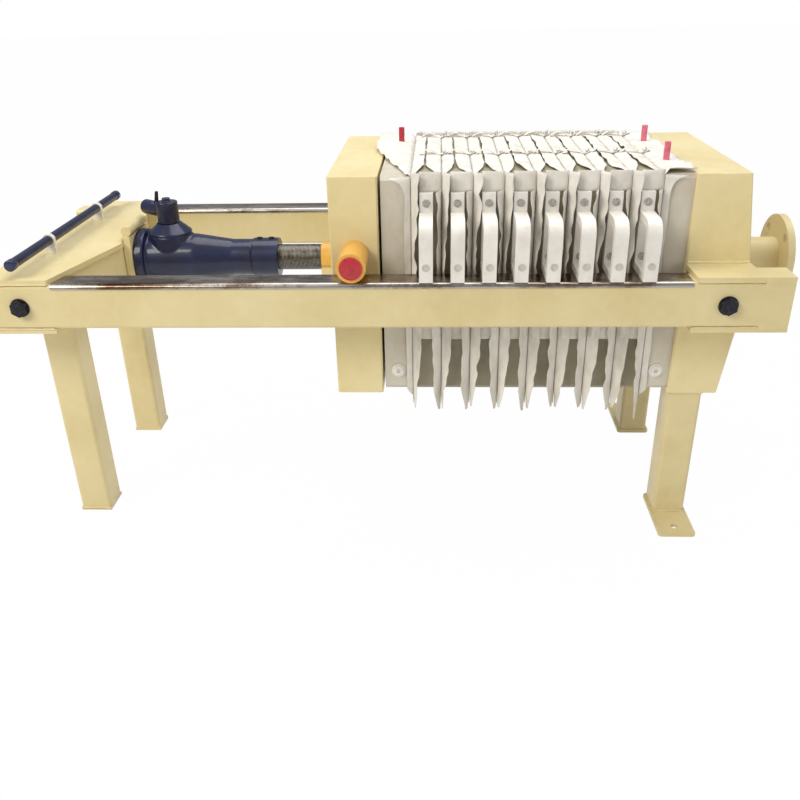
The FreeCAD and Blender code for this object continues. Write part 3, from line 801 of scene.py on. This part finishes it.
def beam_bolts():
    """M20 bolts through the beams: chamfered heads outside, nuts on washers inside."""
    low, high = box_mm("beam_bolts")
    z = (low.z + high.z) / 2
    corner = BOLT_FLATS / math.sqrt(3)
    first, last = low.x + corner, high.x - corner
    outer = low.y
    parts = []
    for x in (first, last):
        parts.append(nut_corner("bolt_head", BOLT_FLATS, BOLT_HEAD - 3.0,
                                (x, outer + BOLT_HEAD / 2 - 0.5, z), (0, -1, 0)))
        washer = start_cylinder("bolt_washer", 19.0, 2.6, (x, outer + BOLT_HEAD - 1.3, z),
                                (0, 1, 0), 40)
        soften(washer, 0.7)
        parts.append(washer)
        parts.append(nut_corner("bolt_nut", BOLT_FLATS, 15.0, (x, -BEAM_INNER + 10.0, z),
                                (0, 1, 0)))
        inner = start_cylinder("nut_washer", 18.5, 2.5, (x, -BEAM_INNER + 1.25, z), (0, 1, 0), 40)
        soften(inner, 0.6)
        parts.append(inner)
        shank = start_cylinder("bolt_shank", 9.8, 76.0, (x, -BEAM_INNER - 20.0, z), (0, 1, 0), 24)
        soften(shank, 1.2, 1)
        parts.append(shank)
    front = join(parts, "beam_bolts_front")
    rear = copy_to(front, "beam_bolts_rear", mirror_y=True)
    finish(front, BLACK, "root", "bolt_black", ["beam_bolts"])
    finish(rear, BLACK, "root", "bolt_black")


def drain_plug():
    """Screwed plug: a thin collar, a stepped head and a hexagon socket."""
    low, high = box_mm("drain_plugs")
    head_low, head_high = box_mm("head_plate")
    tail_low, tail_high = box_mm("tail_plate")
    x, z = (head_low.x + head_high.x) / 2, (low.z + high.z) / 2
    wall = -HALF_PLATE
    plug = start_cylinder("drain_plug", 15.0, 2.6, (x, wall - 1.3, z), (0, -1, 0), 48)
    pick_faces(plug, facing((0, -1, 0)))
    bpy.ops.mesh.inset(thickness=4.6 * MM)
    bpy.ops.mesh.extrude_region_move()
    push((0, -1, 0), 4.2)
    bpy.ops.mesh.inset(thickness=1.6 * MM)
    push((0, 1, 0), 0.5)
    leave_edit()
    carve(plug, start_cylinder("socket", 5.2, 12.0, (x, wall - 7.5, z), (0, 1, 0), 6))
    soften(plug, 0.5, 2, 40)
    across = (tail_low.x + tail_high.x) / 2 - x
    plugs = [plug, copy_to(plug, "plug_b", (across, 0, 0)), copy_to(plug, "plug_c", mirror_y=True),
             copy_to(plug, "plug_d", (across, 0, 0), True)]
    finish(join(plugs, "drain_plugs_screwed"), WHITE, "root", "plate_polypropylene",
           ["drain_plugs"])


def ring_screw(name, middle):
    """Cap screw sunk in its ring: dark gap round a slotted head."""
    x, y, z = middle
    ring = start_cylinder(name, 7.6, 1.8, (x, y - 0.9, z), (0, -1, 0), 36)
    pick_faces(ring, facing((0, -1, 0)))
    bpy.ops.mesh.inset(thickness=1.5 * MM)
    bpy.ops.mesh.extrude_region_move()
    push((0, 1, 0), 1.4)
    bpy.ops.mesh.inset(thickness=1.5 * MM)
    bpy.ops.mesh.extrude_region_move()
    push((0, -1, 0), 1.2)
    leave_edit()
    slot = start_block("slot", (x - 4.5, y - 4, z - 0.8), (x + 4.5, y - 0.8, z + 0.8))
    make_active(slot)
    bpy.ops.object.mode_set(mode="EDIT")
    bpy.ops.mesh.select_all(action="SELECT")
    bpy.ops.transform.rotate(value=0.6, orient_axis="Y", center_override=mm(x, y, z))
    leave_edit()
    carve(ring, slot)
    soften(ring, 0.3, 1, 40)
    return ring


def grip_fittings():
    """Screws in the grips' back strips and the round plugs in the feet of their bars."""
    low, high = box_mm("filter_plate_1")
    x = (low.x + high.x) / 2
    pitch = box_mm("filter_plate_2")[0].x - low.x
    upper = ring_screw("grip_screw", (x, -STRIP_FACE, GRIP_SCREW_TOP))
    lower = copy_to(upper, "grip_screw_low", (0, 0, -GRIP_SCREW_GAP))
    plug = start_cylinder("grip_plug", 7.4, 1.2, (x, -GRIP_PLUG_FACE, GRIP_PLUG_Z), (0, -1, 0), 32)
    pick_faces(plug, facing((0, -1, 0)))
    bpy.ops.mesh.inset(thickness=0.9 * MM)
    push((0, 1, 0), 0.5)
    leave_edit()
    soften(plug, 0.25, 1, 40)
    screws, plugs = [], []
    for k in range(WORKING_PLATES):
        for side in (False, True):
            for part, kept in ((upper, screws), (lower, screws), (plug, plugs)):
                kept.append(copy_to(part, part.name + "_%d%d" % (k, side), (pitch * k, 0, 0), side))
    for part in (upper, lower, plug):
        bpy.data.objects.remove(part)
    finish(join(screws, "grip_screws"), SCREW_HEAD, "root", "bolt_black")
    finish(join(plugs, "grip_plugs"), PLUG_GREY, "root", "plate_polypropylene")


def lug_stoppers():
    """Red stoppers pressed into the lugs: a flat face sunk a little inside a rounded rim."""
    low, high = box_mm("lug_caps")
    x, z = (low.x + high.x) / 2, (low.z + high.z) / 2
    cap = start_cylinder("lug_stopper", 22.2, 14.0, (x, low.y + 7.0, z), (0, -1, 0), 56)
    pick_faces(cap, facing((0, -1, 0)))
    bpy.ops.mesh.inset(thickness=2.4 * MM)
    push((0, 1, 0), 0.9)
    bpy.ops.mesh.inset(thickness=1.2 * MM)
    push((0, -1, 0), 0.4)
    leave_edit()
    soften(cap, 0.6, 2, 25)
    caps = [cap, copy_to(cap, "rear_stopper", mirror_y=True)]
    finish(join(caps, "lug_stoppers"), RED, "press_head_slide", "cap_red", ["lug_caps"])


def pin(name, x, y, material, replaces=()):
    """Plastic locating pin with a rounded top."""
    rod = start_cylinder(name, 6.4, PIN_LENGTH, (x, y, PLATE_TOP + PIN_LENGTH / 2), (0, 0, 1), 32)
    pick_faces(rod, facing((0, 0, 1)))
    bpy.ops.mesh.inset(thickness=1.6 * MM)
    push((0, 0, 1), 0.1)
    bpy.ops.mesh.inset(thickness=1.8 * MM)
    push((0, 0, 1), 0.3)
    leave_edit()
    soften(rod, 1.0, 3, 35)
    finish(rod, material, "root", "cap_red", replaces)


def pins():
    """Red pin on the head plate and two faded ones on the tail plate."""
    head = box_mm("head_plate")
    tail = box_mm("tail_plate")
    pin("head_pin", (head[0].x + head[1].x) / 2, HEAD_PIN_Y, RED, ["locating_pins"])
    pin("tail_pin_front", (tail[0].x + tail[1].x) / 2, -TAIL_PIN_Y, PINK)
    pin("tail_pin_rear", (tail[0].x + tail[1].x) / 2, TAIL_PIN_Y, PINK)


def cast_copy(node, name, voxel, smooth_steps, material, body):
    """Casting taken from its plain solid: corners and joins rounded as a mould leaves them."""
    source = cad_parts[node]
    piece = bpy.data.objects.new(name, source.data.copy())
    bpy.context.scene.collection.objects.link(piece)
    make_active(piece)
    bpy.ops.object.mode_set(mode="EDIT")
    bpy.ops.mesh.select_all(action="SELECT")
    bpy.ops.mesh.remove_doubles(threshold=0.01 * MM)
    leave_edit()
    skin = piece.modifiers.new("skin", "REMESH")
    skin.mode = "VOXEL"
    skin.voxel_size = voxel * MM
    apply_modifier(piece, skin)
    melt = piece.modifiers.new("melt", "SMOOTH")
    melt.factor = 0.5
    melt.iterations = smooth_steps
    apply_modifier(piece, melt)
    finish(piece, material, body, "jack_enamel", [node], math.radians(60))
    return piece


def cap_screw(name, middle, direction, radius=5.0, height=4.5):
    """Cylinder-head screw with a round socket."""
    screw = start_cylinder(name, radius, height, middle, direction, 20)
    pick_faces(screw, facing(direction))
    bpy.ops.mesh.inset(thickness=radius * 0.45 * MM)
    bpy.ops.mesh.extrude_region_move()
    push(direction, -height * 0.5)
    leave_edit()
    soften(screw, 0.5, 2, 40)
    return screw


def jack_castings():
    """The jack's castings under their enamel, and the screws of its cover and collar."""
    cast_copy("jack_housing", "cast_jack_body", 2.4, 5, NAVY, "root")
    cast_copy("jack_gear_cover", "cast_gear_cover", 1.6, 4, NAVY, "root")
    cast_copy("ratchet_head", "cast_ratchet_head", 1.2, 4, NAVY, "ratchet")
    cast_copy("ratchet_arm", "cast_lever_socket", 1.2, 4, NAVY, "ratchet")
    low, high = box_mm("jack_gear_cover")
    x, ring = (low.x + high.x) / 2, 40.5
    screws = []
    for k in range(4):
        angle = math.radians(45 + 90 * k)
        place = (x + ring * math.cos(angle), ring * math.sin(angle), low.z + 5.5)
        screws.append(cap_screw("cover_screw_%d" % k, place, (0, 0, 1), 4.0, 5.0))
    finish(join(screws, "gear_cover_screws"), BLACK, "root", "bolt_black")
    low, high = box_mm("jack_nose_collar")
    top = high.z - 0.6
    parts = [cap_screw("collar_screw_a", (low.x + 14.0, 0, top), (0, 0, 1), 7.0, 5.0),
             cap_screw("collar_screw_b", (low.x + 41.0, 0, top), (0, 0, 1), 7.0, 5.0)]
    finish(join(parts, "collar_screws"), BLACK, "root", "bolt_black")


def lever_end_caps():
    """Moulded caps pushed over both ends of the lever tube."""
    low, high = box_mm("lever_tube")
    x, z = (low.x + high.x) / 2, (low.z + high.z) / 2
    caps = []
    for y, out in ((low.y, -1), (high.y, 1)):
        cap = start_cylinder("lever_cap", 11.2, 16.0, (x, y - out * 5.5, z), (0, out, 0), 36)
        pick_faces(cap, facing((0, out, 0)))
        bpy.ops.mesh.inset(thickness=2.2 * MM)
        push((0, out, 0), 0.9)
        leave_edit()
        soften(cap, 0.8, 2, 25)
        caps.append(cap)
    finish(join(caps, "lever_end_caps"), NAVY_PLASTIC, "root", "jack_enamel")


def weld_bead(name, start, end, radius, material, seed=1, ripple_mm=5.0):
    """Hand-laid weld under the enamel: a thin rounded rope, lumpy along its length."""
    start, end = Vector(start), Vector(end)
    run = end - start
    bead = start_cylinder(name, radius, run.length, (start + end) / 2, run, 8)
    make_active(bead)
    cuts = max(4, int(run.length / ripple_mm))
    direction = run.normalized()
    bpy.ops.object.mode_set(mode="OBJECT")
    for part in (bead.data.vertices, bead.data.edges, bead.data.polygons):
        for item in part:
            item.select = False
    for edge in bead.data.edges:
        a, b = (bead.data.vertices[i].co for i in edge.vertices)
        edge.select = abs((b - a).normalized().dot(direction)) > 0.9
    bpy.ops.object.mode_set(mode="EDIT")
    bpy.ops.mesh.select_mode(type="EDGE")
    bpy.ops.mesh.subdivide(number_cuts=cuts)
    bpy.ops.mesh.select_all(action="SELECT")
    bpy.ops.transform.vertex_random(offset=radius * 0.45 * MM, seed=seed)
    bpy.ops.mesh.vertices_smooth(factor=0.4, repeat=1)
    leave_edit()
    return finish(bead, material, "root", "frame_paint", angle=math.radians(80))


def mirrored_bead(name, start, end, radius, material, seed):
    """The same bead in front and behind; the points are given for the rear one."""
    for label, side in (("front", -1), ("rear", 1)):
        a = (start[0], side * start[1], start[2])
        b = (end[0], side * end[1], end[2])
        weld_bead("%s_%s" % (name, label), a, b, radius, material, seed + (side > 0))


def frame_welds():
    """Weld beads where the frame's pieces meet, as far as they show."""
    head = box_mm("thrust_head")
    leg = box_mm("thrust_end_legs")
    jack_leg = box_mm("jack_end_legs")
    tie = box_mm("jack_end_top_plate")
    seat = box_mm("jack_seat_plate")
    face, deep = head[0].x, head[1].x
    side_y, upper, lower = BEAM_OUTER - 0.8, BEAM_TOP + 1.0, BEAM_BOTTOM - 0.5
    leg_in, leg_out = 160.0, 229.0
    head_side = 233.5
    thrust_top, jack_top = 311.0, 485.0
    seat_z = 597.2
    # name, start, end, radius, material, seed of the lumps
    beads = (
        ("weld_ear_top", (face + 2, side_y, upper), (deep, side_y, upper), 2.4, CREAM, 3),
        ("weld_ear_bottom", (face + 2, side_y, lower), (deep, side_y, lower), 2.4, CREAM, 5),
        ("weld_ear_head", (face + 3, head_side, 597.0), (deep - 2, head_side, 597.0), 3.6,
         CREAM_HEAD, 7),
        ("weld_leg_top", (leg[0].x, 229.4, thrust_top), (leg[1].x, 229.4, thrust_top), 3.0,
         CREAM, 9),
        ("weld_leg_side", (leg[0].x - 0.4, leg_in, thrust_top),
         (leg[0].x - 0.4, leg_out, thrust_top), 2.8, CREAM, 11),
        ("weld_foot_front", (leg[0].x, 229.6, 9.0), (leg[1].x, 229.6, 9.0), 2.8, CREAM, 13),
        ("weld_foot_side", (leg[0].x - 0.5, leg_in, 9.0), (leg[0].x - 0.5, leg_out, 9.0), 2.6,
         CREAM, 15),
        ("weld_jack_leg_top", (jack_leg[0].x, 229.4, jack_top), (jack_leg[1].x, 229.4, jack_top),
         2.8, CREAM, 17),
        ("weld_jack_foot", (jack_leg[0].x, 229.5, 7.0), (jack_leg[1].x, 229.5, 7.0), 2.4,
         CREAM, 19),
        ("weld_tie_front", (tie[0].x + 2, side_y + 0.1, upper),
         (tie[0].x + 126, side_y + 0.1, upper), 2.3, CREAM, 21),
        ("weld_tie_low", (tie[0].x + 2, side_y + 0.1, lower),
         (tie[0].x + 126, side_y + 0.1, lower), 2.3, CREAM, 23),
        ("weld_seat_side", (seat[0].x - 1.0, 62.5, 598.0), (seat[0].x - 1.0, 62.5, 604.0), 2.6,
         CREAM, 25),
    )
    for bead in beads:
        mirrored_bead(*bead)
    weld_bead("weld_seat_back", (seat[0].x - 0.8, -60.0, seat_z), (seat[0].x - 0.8, 60.0, seat_z),
              3.4, CREAM, 27)


def ground_ear_fillers():
    """Where the ears' outer ends are welded up and ground flush with the beam's face."""
    ears = box_mm("thrust_top_ears")
    deep = box_mm("thrust_head")[1].x
    for label, side in (("front", -1), ("rear", 1)):
        for place, low_z, high_z in (("top", BEAM_TOP - 5.8, BEAM_TOP + 9.2),
                                     ("bottom", BEAM_BOTTOM - 9.2, BEAM_BOTTOM + 5.8)):
            y0, y1 = sorted((side * (BEAM_OUTER + 0.15), side * (BEAM_OUTER - 6.0)))
            bar = start_block("ground_weld_%s_%s" % (place, label), (deep + 0.5, y0, low_z),
                              (ears[1].x - 0.4, y1, high_z))
            soften(bar, 1.5, 3)
            finish(bar, CREAM, "root", "frame_paint")


def make_fittings():
    """All the pieces of metal and plastic."""
    beam_bolts()
    drain_plug()
    grip_fittings()
    lug_stoppers()
    pins()
    jack_castings()
    lever_end_caps()
    frame_welds()
    ground_ear_fillers()


# ---- stage, light and camera -------------------------------------------------------------

WHITE_SHARE = 0.985     # how much of the floor glows white; the rest takes the shadows


def white_floor():
    """Pale floor that shows white to the camera and still takes the soft shadows."""
    bpy.ops.mesh.primitive_plane_add(size=40, location=(0, 0, 0))
    floor = bpy.context.object
    floor.name = "studio_floor"
    material = bpy.data.materials.new("pale_studio_floor")
    material.use_nodes = True
    tree = material.node_tree
    shader = tree.nodes["Principled BSDF"]
    shader.inputs["Base Color"].default_value = linear("#E8E6E1")
    shader.inputs["Roughness"].default_value = 0.9
    rays = add(tree, "ShaderNodeLightPath")
    seen = rays.outputs["Is Camera Ray"]
    for ray in ("Is Glossy Ray", "Is Transmission Ray"):
        seen = add(tree, "ShaderNodeMath", {"operation": "MAXIMUM"},
                   {0: seen, 1: rays.outputs[ray]}).outputs["Value"]
    share = add(tree, "ShaderNodeMath", {"operation": "MULTIPLY"}, {0: seen, 1: WHITE_SHARE})
    glow = add(tree, "ShaderNodeEmission", inputs={"Color": (1, 1, 1, 1), "Strength": 1.0})
    mixed = add(tree, "ShaderNodeMixShader", inputs={
        "Fac": share.outputs["Value"], 1: shader.outputs["BSDF"], 2: glow.outputs["Emission"]})
    tree.links.new(mixed.outputs["Shader"], tree.nodes["Material Output"].inputs["Surface"])
    floor.data.materials.append(material)


def studio_world():
    """White to the camera, a soft grey sky for the light and for reflections."""
    world = bpy.data.worlds.new("studio")
    bpy.context.scene.world = world
    world.use_nodes = True
    tree = world.node_tree
    tree.nodes.clear()
    rays = add(tree, "ShaderNodeLightPath")
    sky = add(tree, "ShaderNodeBackground", inputs={"Color": linear("#EEF1F6"), "Strength": 0.38})
    white = add(tree, "ShaderNodeBackground", inputs={"Color": (1, 1, 1, 1), "Strength": 1.0})
    mixed = add(tree, "ShaderNodeMixShader", inputs={
        "Fac": rays.outputs["Is Camera Ray"], 1: sky.outputs["Background"],
        2: white.outputs["Background"]})
    output = add(tree, "ShaderNodeOutputWorld")
    tree.links.new(mixed.outputs["Shader"], output.inputs["Surface"])


def softbox(name, place, aim, size, watts, colour="#FFFFFF"):
    """Rectangular area lamp at a place, turned to its aim."""
    lamp = bpy.data.lights.new(name, "AREA")
    lamp.shape = "RECTANGLE"
    lamp.size, lamp.size_y = size
    lamp.energy = watts
    lamp.color = linear(colour)[:3]
    light = bpy.data.objects.new(name, lamp)
    bpy.context.scene.collection.objects.link(light)
    light.location = place
    light.rotation_euler = (Vector(aim) - Vector(place)).to_track_quat("-Z", "Y").to_euler()


def lights():
    """Broad daylight from the left, a ceiling over the middle and a weak fill on the right."""
    softbox("window_left", (-2.6, -2.4, 3.2), (0, 0, 0.5), (2.2, 1.8), 118, "#FFFBF2")
    softbox("ceiling", (0.3, 0.6, 3.6), (0, 0, 0.5), (3.4, 2.6), 92, "#FFFFFF")
    softbox("fill_right", (3.2, -2.6, 1.6), (0.3, 0, 0.5), (2.2, 1.8), 22, "#FAFBFF")


def camera():
    """Eye height 1.1 m, 1.8 m in front of the middle, looking down 27 degrees."""
    data = bpy.data.cameras.new("camera")
    data.sensor_width = 36.0
    data.lens = 37.27
    data.shift_x = -0.0029
    data.shift_y = 0.0035
    data.clip_end = 60
    eye = bpy.data.objects.new("camera", data)
    bpy.context.scene.collection.objects.link(eye)
    yaw, pitch, roll = math.radians(-2.8), math.radians(27.05), math.radians(1.16)
    look = Matrix.Rotation(-yaw, 4, "Z") @ Matrix.Rotation(math.pi / 2 - pitch, 4, "X")
    eye.matrix_world = Matrix.Translation((0.0885, -1.8245, 1.1005)) @ look @ Matrix.Rotation(
        -roll, 4, "Z")
    bpy.context.scene.camera = eye


dress_frame_nodes()
make_cloths()
make_fittings()
white_floor()
studio_world()
lights()
camera()

bpy.context.scene.view_settings.view_transform = "Standard"
